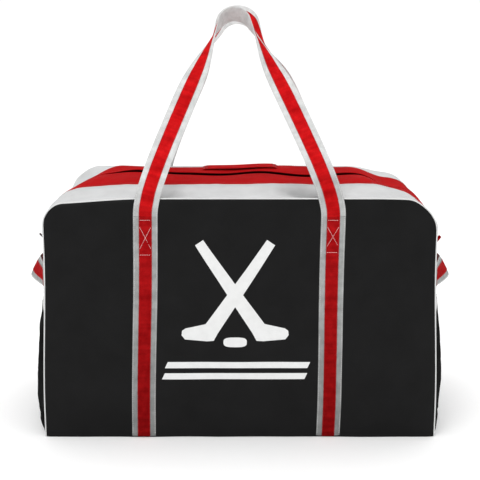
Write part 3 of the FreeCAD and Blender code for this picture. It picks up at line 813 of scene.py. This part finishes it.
def make_bottom():
    xs = np.r_[-1, np.linspace(-0.99, 0.99, 60), 1]
    ys = seam_rows(-HALF_Y, HALF_Y, 24)
    x = np.repeat(xs[:, None], len(ys), 1)
    y = np.repeat(ys[None, :], len(xs), 0)
    reach = HALF_L - 0.002 + 0.034 * (1 - (y / HALF_Y) ** 2)
    low = PANEL_LOW + 0.0012 * (1 - np.abs(x)) + 0.0004
    points = settle(np.stack([x * reach, y, low + 0 * y], -1))
    obj = sheet("bottom", points, [BLACK_END, LINING], side=-1)
    return place(obj, "shell", "black_nylon", "bottom_panel")


# ---------------------------------------------------------------- straps
def strap_x(side, z):
    return STRAP_X[side] + STRAP_SHIFT[side] * np.clip((STRAP_TOP - z) / STRAP_TOP, 0, 1)


def strap_line(side, lift):
    """Middle line of a strap round the front, the bottom and the back, with its outward normals."""
    y = -WEB_CENTRE + lift
    low = 0.0024 - lift + 0.0001
    bend = 0.005 + lift
    points = []
    for z in np.linspace(STRAP_TOP, low + bend, 72):
        points.append((strap_x(side, z), -y, z))
    for t in np.linspace(0, math.pi / 2, 7)[1:]:
        points.append((strap_x(side, 0.0), -y + bend - bend * math.cos(t), low + bend - bend * math.sin(t)))
    for share in np.linspace(0, 1, 40)[1:-1]:
        points.append((strap_x(side, 0.0), (-y + bend) * (1 - 2 * share), low))
    mirrored = [(p[0], -p[1], p[2]) for p in points[:72 + 6]]
    points = np.array(points + mirrored[::-1])
    along = unit(np.gradient(points, axis=0))
    width = np.tile([1.0, 0.0, 0.0], (len(points), 1))
    return points, width, unit(np.cross(along, width))


def strap_waves(points, amount):
    """Small cross ripples of a sewn-on stripe."""
    rippling = field(points * np.array([0.1, 0.1, 1.0]), ripples(77, 9, 0.020))
    return rippling * amount * smooth((np.abs(points[:, 1]) - 0.2) / 0.01)


def make_strap(side):
    line, width, normal = strap_line(side, 0.0)
    line = settle(line)
    obj = swept(side + "_strap_webbing", line, width, normal, web_section(WEB, WEB_THICK), [WHITE_STRAP_SHADED])
    place(obj, "shell", "white_webbing", side + "_strap")
    line, width, normal = strap_line(side, STRIPE_LIFT)
    line = settle(line) + normal * strap_waves(line, 0.00045)[:, None]
    section = web_section(STRIPE, STRIPE_THICK, 8)
    obj = swept(side + "_strap_stripe_webbing", line, width, normal, section, [RED_STRAP_SHADED])
    place(obj, "shell", "red_webbing", side + "_strap_stripe")
    rows = []
    for offset, lift in ((RED_SEAM, STRIPE_LIFT + STRIPE_THICK / 2), (WHITE_SEAM, WEB_THICK / 2)):
        base, width, normal = strap_line(side, lift)
        for part in (slice(0, 72), slice(len(base) - 72, len(base))):
            for sign in (-1, 1):
                edge = base[part] + width[part] * sign * offset
                rows.append((settle(edge), normal[part]))
    red_rows, white_rows = rows[:4], rows[4:]
    place(stitches(side + "_strap_thread_red", red_rows, THREAD_RED), "shell", "red_webbing")
    place(stitches(side + "_strap_thread_white", white_rows, THREAD_WHITE), "shell", "white_webbing")
    make_box_stitch(side)


def make_box_stitch(side):
    """Crossed box stitch across the stripe, front and back."""
    lift = STRIPE_LIFT + STRIPE_THICK / 2 + 0.0001
    low = {"left": 0.399, "right": 0.404}[side]
    cross_low, cross_high, high = low + 0.012, 0.455, STRAP_TOP - 0.0075
    half = 0.0116
    corners = [((-1, low), (1, low)), ((-1, high), (1, high)), ((-1, cross_low), (1, cross_high)),
               ((-1, cross_high), (1, cross_low))]
    lines = []
    for face in (-1, 1):
        for (a, z0), (b, z1) in corners:
            share = np.linspace(0, 1, 8)
            z = z0 + (z1 - z0) * share
            x = strap_x(side, z) + (a + (b - a) * share) * half
            y = np.full_like(x, face * (-WEB_CENTRE + lift))
            lines.append((settle(np.stack([x, y, z], -1)), (0, face, 0)))
    thread = stitches(side + "_box_stitch", lines, THREAD_PINK, pitch=0.0036, length=0.0031, radius=0.00045)
    place(thread, "shell", "piping")


# ---------------------------------------------------------------- carry handles
LEAN = math.radians(27.0)
UPRIGHT = 0.036
BEND_R = 0.045
REACH = {"front": 0.446, "rear": 0.443}
TOP_SHIFT = {"front": -0.011, "rear": -0.0058}
TURN_R = {"front": 0.034, "rear": 0.041}
SLANT = math.radians(21.0)
LEG_EASE = 1.2
TWIST_FROM = 0.225                               # the outer face turns outward and up from this length
TWIST_TO = {"front": 0.465, "rear": 0.442}
TWIST_FULL = {"front": math.radians(103.0), "rear": math.radians(114.0)}
LEG_SETTLE = 0.015                               # each leg leaves its strap in line with it


def handle_profile(length):
    y = np.full_like(length, WEB_CENTRE)
    lean = np.clip(length - UPRIGHT, 0, BEND_R * LEAN) / BEND_R
    straight = np.maximum(length - UPRIGHT - BEND_R * LEAN, 0)
    y = y + BEND_R * (1 - np.cos(lean)) + straight * np.sin(lean)
    z = STRAP_TOP + np.minimum(length, UPRIGHT) + BEND_R * np.sin(lean) + straight * np.cos(lean)
    return y, z, lean


def handle_path(which):
    """Sideways place and length up the plane along a whole handle."""
    shift, turn_r = TOP_SHIFT[which], TURN_R[which]
    leg_length = REACH[which] - turn_r * (1 - math.sin(SLANT))
    legs = []
    for side in ("left", "right"):
        sign = -1 if side == "left" else 1
        length = np.linspace(0, leg_length, 70)
        end = shift + sign * turn_r * math.cos(SLANT)
        start = STRAP_X[side]
        part = (length - LEG_SETTLE * (1 - np.exp(-length / LEG_SETTLE))) / (leg_length - LEG_SETTLE)
        legs.append((start + (end - start) * part ** LEG_EASE, length))
    angle = np.linspace(SLANT, math.pi - SLANT, 26)[1:-1]
    turn = (shift - turn_r * np.cos(angle), REACH[which] - turn_r * (1 - np.sin(angle)))
    right = tuple(part[::-1] for part in legs[1])
    return tuple(np.concatenate([legs[0][k], turn[k], right[k]]) for k in range(2))


def handle_frame(which):
    """Centre line of a handle with the webbing's width and outward directions."""
    x, length = handle_path(which)
    y, z, lean = handle_profile(length)
    centre = np.stack([x, y, z], -1)
    along = unit(np.gradient(centre, axis=0))
    out = np.stack([np.zeros_like(x), -np.cos(lean), np.sin(lean)], -1)
    across = unit(np.cross(along, out))
    turned = smooth((length - TWIST_FROM) / (TWIST_TO[which] - TWIST_FROM)) ** 1.3
    turn = (TWIST_FULL[which] * turned)[:, None]
    width = across * np.cos(turn) + out * np.sin(turn)
    normal = out * np.cos(turn) - across * np.sin(turn)
    if which == "rear":
        flat = np.array([1, -1, 1])
        centre, width, normal = centre * flat, width * flat, normal * flat
    return centre, width, normal


def sew_edges(title, line, width, normal, bend):
    """Rows of stitches along both edges of the stripe and of the white webbing."""
    stripe_face = STRIPE_LIFT + STRIPE_THICK / 2
    for colour, thread, lift, offset in (("red", THREAD_RED, stripe_face, RED_SEAM),
                                         ("white", THREAD_WHITE, WEB_THICK / 2, WHITE_SEAM)):
        rows = [(line + normal * lift + width * sign * offset, normal) for sign in (-1, 1)]
        place(stitches(title + "_thread_" + colour, rows, thread), bend, colour + "_webbing")


def make_handle(which):
    centre, width, normal = handle_frame(which)
    wobble = field(centre, ripples(41 if which == "front" else 43, 7, 0.12))[:, None]
    centre = centre + normal * wobble * 0.0012 * smooth((centre[:, 2:3] - STRAP_TOP) / 0.08)
    centre = settle(centre)
    sign = -1 if which == "front" else 1
    hinge_y = sign * 0.2204
    bend = ("shell", which + "_handle", (0, hinge_y, STRAP_TOP), (0, hinge_y, STRAP_TOP + 0.030))
    obj = swept(which + "_handle_webbing", centre, width, normal, web_section(WEB, WEB_THICK), [WHITE_WEB_LIT])
    place(obj, bend, "white_webbing", which + "_handle")
    waves = field(centre, ripples(47, 9, 0.018))[:, None] * 0.0004
    stripe = centre + normal * (STRIPE_LIFT + waves)
    section = web_section(STRIPE, STRIPE_THICK, 8)
    obj = swept(which + "_handle_stripe_webbing", stripe, width, normal, section, [RED_WEB_LIT])
    place(obj, bend, "red_webbing", which + "_handle_stripe")
    sew_edges(which + "_handle", centre, width, normal, bend)


# ---------------------------------------------------------------- grab handles
def grab_line(sign, half):
    """Half of a grab handle: its sewn tail and the loop up to the middle of the end."""
    tail = np.linspace(-GRAB_TAIL_Y, -GRAB_END_Y, 10)[:-1]
    loop = np.linspace(-GRAB_END_Y, 0.0, 34)
    rows = []
    for y in tail:
        rows.append((HALF_L + float(rise(y, GRAB_Z)) + 0.0016, y, GRAB_Z, 0.0))
    start = HALF_L + float(rise(-GRAB_END_Y, GRAB_Z)) + 0.0022
    for y in loop:
        t = y / GRAB_END_Y
        bow = 1 - abs(t) ** 1.25
        rows.append((start + 0.0435 * bow, y, GRAB_Z - 0.008 * bow, math.radians(28) * bow))
    rows = np.array(rows)
    for _ in range(3):
        rows[1:-1] = (rows[:-2] + 2 * rows[1:-1] + rows[2:]) / 4
    line = rows[:, :3]
    tilt = rows[:, 3]
    along = unit(np.gradient(line, axis=0))
    along[-1] = (0, 1, 0)
    down = np.stack([np.sin(tilt), np.zeros(len(line)), -np.cos(tilt)], -1)
    out = unit(np.cross(along, down)) * -1
    down = unit(np.cross(out, along)) * -1
    flip = np.array([sign, half, 1])
    return line * flip, down * flip, out * flip


def make_grab(side):
    sign = -1 if side == "left" else 1
    hinge = side + "_grab"
    for half, name in ((1, "front"), (-1, "rear")):
        line, down, out = grab_line(sign, half)
        line = settle(line)
        bend = ("shell", hinge, (0, -half * 0.142, 0), (0, -half * 0.070, 0))
        title = side + "_grab_" + name
        obj = swept(title, line, down, out, web_section(WEB, WEB_THICK), [WHITE_GRAB_SHADED])
        place(obj, bend, "white_webbing", side + "_grab_handle", side + "_grab_tails")
        section = web_section(STRIPE, STRIPE_THICK, 8)
        obj = swept(title + "_stripe", line + out * STRIPE_LIFT, down, out, section, [RED_GRAB_SHADED])
        place(obj, bend, "red_webbing", side + "_grab_stripe")
        sew_edges(title, line, down, out, bend)


# ---------------------------------------------------------------- zip
def zip_stations(side):
    stations = half_stations(side)
    return stations[stations[:, 1] > ZIP_END_Z - 0.002]


def make_zip_half(which, side):
    stations = zip_stations(side)
    sign = -1 if which == "front" else 1
    blend_to = flap_blend(which, side)
    rows = sign * np.array([0.0036, 0.008, 0.014, 0.0205])
    points = gusset(stations, rows, lift=-0.0036)
    obj = sheet("zip_tape_%s_%s" % (which, side), settle(points), [TAPE, TAPE], side=sign, thick=0.0009)
    place(obj, blend_to, "zip_tape", side + "_zip_tape", which + "_zip_tape")
    line = resample(gusset(stations, [sign * 0.0022], lift=-0.0032)[:, 0], 0.0005)
    length = lengths(line)
    verts, faces = [], []
    for at in np.arange(0.001, length[-1], 0.0026):
        k = min(int(np.searchsorted(length, at)), len(line) - 2)
        centre, along = line[k], unit(line[k + 1] - line[k])
        up = unit(np.cross(along, np.array([0.0, 1.0, 0.0])))
        across = np.array([0.0, 1.0, 0.0])
        base = len(verts)
        for c in (-1, 1):
            for a, b in ((-1, -1), (1, -1), (1, 1), (-1, 1)):
                narrow = 0.62 if b * sign < 0 else 1.0
                high = c * 0.0013 * (1.1 - 0.2 * narrow)
                verts.append(centre + along * a * 0.00085 * narrow + across * b * 0.0014 + up * high)
        for quad in ((0, 3, 2, 1), (4, 5, 6, 7), (0, 1, 5, 4), (1, 2, 6, 5), (2, 3, 7, 6), (3, 0, 4, 7)):
            faces.append([base + q for q in quad])
    name = "zip_teeth_%s_%s" % (which, side)
    obj = finish_mesh(name, settle(np.array(verts)), faces, None, [TEETH], None, sharp=30)
    make_outward(obj)
    place(obj, blend_to, "zip_teeth", side + "_zip_teeth", which + "_zip_teeth")


def make_end_cover(side):
    """Red strip that closes the slot under the zip's end."""
    sign = -1 if side == "left" else 1
    zs = np.linspace(ZIP_END_Z - 0.004, SEAM_Z, 14)
    ys = np.linspace(-0.0085, 0.0085, 7)
    z = np.repeat(zs[:, None], len(ys), 1)
    y = np.repeat(ys[None, :], len(zs), 0)
    points = settle(np.stack([sign * (HALF_L + rise(y, z) - 0.0018), y, z], -1))
    obj = sheet(side + "_zip_end", points, [RED, LINING], side=sign, thick=0.0012)
    return place(obj, "shell", "red_fabric", side + "_zip_end_cover")


def make_pull_tab():
    """Red fabric tab that stands up from the right slider."""
    foot, tip = np.array([0.4300, 0.0, 0.3690]), np.array([0.4495, 0.0, 0.3905])
    share = np.linspace(0, 1, 14)[:, None]
    line = foot + (tip - foot) * share + np.array([0.0, 0.0, -0.0016]) * np.sin(math.pi * share)
    along = unit(np.gradient(line, axis=0))
    width = np.tile([0.0, 1.0, 0.0], (len(line), 1))
    section = oval_section(0.0062, 0.0036, 14)
    obj = swept("pull_tab", line, width, unit(np.cross(along, width)), section, [RED_GRAB_SHADED])
    return place(obj, "right_pull", "pull_tab", "right_pull")


# ---------------------------------------------------------------- sleeve on the rear flap
def make_sleeve():
    low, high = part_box("top_sleeve")
    xs = np.linspace(low.x, high.x, 60)
    rows = []
    for x in xs:
        share = abs(x) / high.x
        hump = 0.0020 * smooth((1 - share) / 0.10) + 0.0012 * (1 - share ** 2)
        rows.append(hump + 0.0013)
    middle = (low.y + high.y) / 2
    away = np.ones(60)
    surface = gusset(np.column_stack([xs, away * PANEL_TOP, away * 0, away, away, away]), [middle])[:, 0]
    line = settle(surface) + np.array([0, 0, 1.0]) * np.array(rows)[:, None]
    line = soften(line, 2)
    along = unit(np.gradient(line, axis=0))
    width = np.tile([0.0, 1.0, 0.0], (60, 1))
    normal = unit(np.cross(along, width))
    obj = swept("sleeve", line, width, normal, web_section(WEB, WEB_THICK), [RED_SLEEVE])
    place(obj, "rear_flap", "red_webbing", "top_sleeve")
    lines = []
    for sign in (-1, 1):
        for inset in (0.003, 0.008):
            x = sign * (high.x - inset)
            k = int(np.argmin(np.abs(xs - x)))
            y = np.linspace(-0.023, 0.023, 12)
            lines.append((line[k] + np.stack([0 * y, y, 0 * y + WEB_THICK / 2 + 0.0001], -1), (0, 0, 1)))
    thread = stitches("sleeve_thread", lines, THREAD_BLACK, pitch=0.0032, length=0.0026, radius=0.0005)
    place(thread, "rear_flap", "zip_tape")


# ---------------------------------------------------------------- seam stitching
def make_seam_threads():
    """Rows of stitches each side of the seams between the white and the red bands, and beside the zip."""
    for which, sign in (("front", -1), ("rear", 1)):
        normals = np.stack([STATIONS[:, 2], np.zeros(len(STATIONS)), STATIONS[:, 3]], -1)
        line = settle(gusset(STATIONS, [sign * (WHITE_Y + 0.0065)])[:, 0])
        place(stitches(which + "_band_thread", [(line, normals)], THREAD_WHITE), "shell", "white_band")
        for side in ("left", "right"):
            stations = half_stations(side)
            normals = np.stack([stations[:, 2], np.zeros(len(stations)), stations[:, 3]], -1)
            near_seam = settle(gusset(stations, [sign * (WHITE_Y - 0.0065)])[:, 0])
            edge = sign * (slot_edge(stations) + 0.0075)
            lift = lip_lift(which, stations) * math.exp(-0.0075 / 0.012)
            near_zip = gusset(stations, edge[:, None])[:, 0] + normals * lift[:, None]
            rows = [(near_seam, normals), (settle(near_zip), normals)]
            thread = stitches("%s_red_thread_%s" % (which, side), rows, THREAD_RED)
            place(thread, flap_blend(which, side), "red_fabric")


# ---------------------------------------------------------------- print
def stick_shape(sign):
    """Outline of a plain hockey stick lying across the badge, blade at the bottom."""
    lean = math.radians(33)
    shaft = 0.0098
    top = np.array([-math.sin(lean), math.cos(lean)]) * 0.135
    heel = np.array([math.sin(lean), -math.cos(lean)]) * 0.088
    side = np.array([math.cos(lean), math.sin(lean)]) * shaft
    toe = heel + np.array([0.058, -0.010])
    points = [top - side, top + side, heel + side * 1.05 + np.array([0.004, 0.010])]
    toe_steps = ((-0.004, 0.016), (0.003, 0.011), (0.004, 0.001), (-0.003, -0.008))
    points += [toe + np.array(step) for step in toe_steps]
    points += [heel + np.array(step) for step in ((0.010, -0.022), (-0.004, -0.021))]
    points.append(heel - side * 1.1 + np.array([0.0, -0.004]))
    return [(sign * x, z) for x, z in points]


def disc_shape(x, z, half_width, half_height, power=3.2):
    points = []
    for t in np.arange(36) / 36 * 2 * math.pi:
        c, s = math.cos(t), math.sin(t)
        points.append((x + half_width * abs(c) ** (2 / power) * math.copysign(1, c),
                       z + half_height * abs(s) ** (2 / power) * math.copysign(1, s)))
    return points


def bar_shape(x0, x1, z0, z1, slant):
    return [(x0, z0), (x1, z0), (x1 + slant, z1), (x0 + slant, z1)]


def make_print(name, shapes, centre):
    """Flat ink shapes laid on the front panel's surface."""
    bm = bmesh.new()
    for shape in shapes:
        face = bm.faces.new([bm.verts.new((x, 0, z)) for x, z in shape])
        bmesh.ops.triangulate(bm, faces=[face])
    for _ in range(5):
        long = [e for e in bm.edges if e.calc_length() > 0.012]
        if long:
            bmesh.ops.subdivide_edges(bm, edges=long, cuts=1)
            bmesh.ops.triangulate(bm, faces=bm.faces[:])
    flat = np.array([(v.co.x + centre[0], FRONT_Y, v.co.z + centre[1]) for v in bm.verts])
    lifted = settle(flat) - np.array([0, 0.00032, 0])
    for vert, spot in zip(bm.verts, lifted):
        vert.co = Vector(spot)
    bmesh.ops.recalc_face_normals(bm, faces=bm.faces)
    if sum(f.normal.y for f in bm.faces) > 0:
        bmesh.ops.reverse_faces(bm, faces=bm.faces)
    mesh = bpy.data.meshes.new(name)
    bm.to_mesh(mesh)
    bm.free()
    mesh.materials.append(INK)
    return place(add_object(name, mesh), "shell", "piping")


# ---------------------------------------------------------------- assemble
for side_name, side_sign in (("front", -1), ("back", 1)):
    make_panel(side_name + "_cloth", side_sign, side_name + "_panel")
    make_piping(side_name + "_cord", side_sign, side_name + "_piping")
make_white_band("front_white_band", -1, "front_top_band")
make_white_band("rear_white_band", 1, "rear_top_band")
for which_flap in ("front", "rear"):
    for side_name in ("left", "right"):
        make_red_half(which_flap, side_name)
        make_zip_half(which_flap, side_name)
    make_handle(which_flap)
for side_name in ("left", "right"):
    make_end_panel(side_name)
    make_end_binding(side_name)
    make_end_cover(side_name)
    make_strap(side_name)
    make_grab(side_name)
make_bottom()
make_pull_tab()
make_sleeve()
make_seam_threads()
make_print("badge_print", [stick_shape(1), stick_shape(-1), disc_shape(0, -0.098, 0.024, 0.0105)],
           (-0.010, 0.310))
make_print("bar_print", [bar_shape(-0.150, 0.142, 0.0055, 0.019, 0.006),
                         bar_shape(-0.156, 0.136, -0.019, -0.0055, 0.006)], (-0.004, 0.150))

for name, material in (("slider", METAL), ("zip_stop", TEETH)):
    for side_name in ("left", "right"):
        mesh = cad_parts[side_name + "_" + name].data
        mesh.materials.clear()
        mesh.materials.append(material)
pull_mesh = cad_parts["left_pull"].data
pull_mesh.materials.clear()
pull_mesh.materials.append(METAL)


# ---------------------------------------------------------------- floor, light, camera
def make_floor():
    bm = bmesh.new()
    bmesh.ops.create_grid(bm, x_segments=8, y_segments=8, size=60.0)
    mesh = bpy.data.meshes.new("floor")
    bm.to_mesh(mesh)
    bm.free()
    material, tree, shader = new_material("floor_paint")
    shader.inputs["Base Color"].default_value = (0.93, 0.93, 0.93, 1)
    shader.inputs["Roughness"].default_value = 0.85
    shader.inputs["Emission Color"].default_value = (1, 1, 1, 1)
    shader.inputs["Emission Strength"].default_value = 0.10
    bump(tree, shader, [(noise(tree, 30.0, 2.0, 0.5, object_place(tree)), 0.02, 0.001)])
    mesh.materials.append(material)
    add_object("floor", mesh)


def area_light(name, place_at, target, size, power):
    light = bpy.data.lights.new(name, "AREA")
    light.shape = "RECTANGLE"
    light.size, light.size_y = size
    light.energy = power
    obj = add_object(name, light)
    obj.location = place_at
    obj.rotation_mode = "QUATERNION"
    obj.rotation_quaternion = (Vector(target) - Vector(place_at)).to_track_quat("-Z", "Y")


make_floor()
area_light("key", (-1.2, -2.6, 2.8), (0, 0, 0.3), (1.6, 1.2), 27)
area_light("fill", (2.4, -2.2, 1.8), (0, 0, 0.3), (2.2, 2.2), 7)
area_light("top", (0.2, 0.6, 3.2), (0, 0, 0.4), (2.0, 1.6), 13)
area_light("back", (0.0, 3.2, 2.0), (0, 0, 0.4), (3.0, 1.6), 8)
world = bpy.data.worlds.new("studio")
world.use_nodes = True
world.node_tree.nodes["Background"].inputs["Color"].default_value = (1, 1, 1, 1)
world.node_tree.nodes["Background"].inputs["Strength"].default_value = 1.03
bpy.context.scene.world = world
bpy.context.scene.view_settings.view_transform = "Standard"

camera = bpy.data.cameras.new("camera")
camera.lens = 82.3
camera.sensor_width = 36
camera.clip_end = 50
camera_object = add_object("camera", camera)
camera_object.location = (0.0, FRONT_Y - 2.19, 0.919)
camera_object.rotation_euler = (math.radians(90 - 12.6), 0, 0)
bpy.context.scene.camera = camera_object
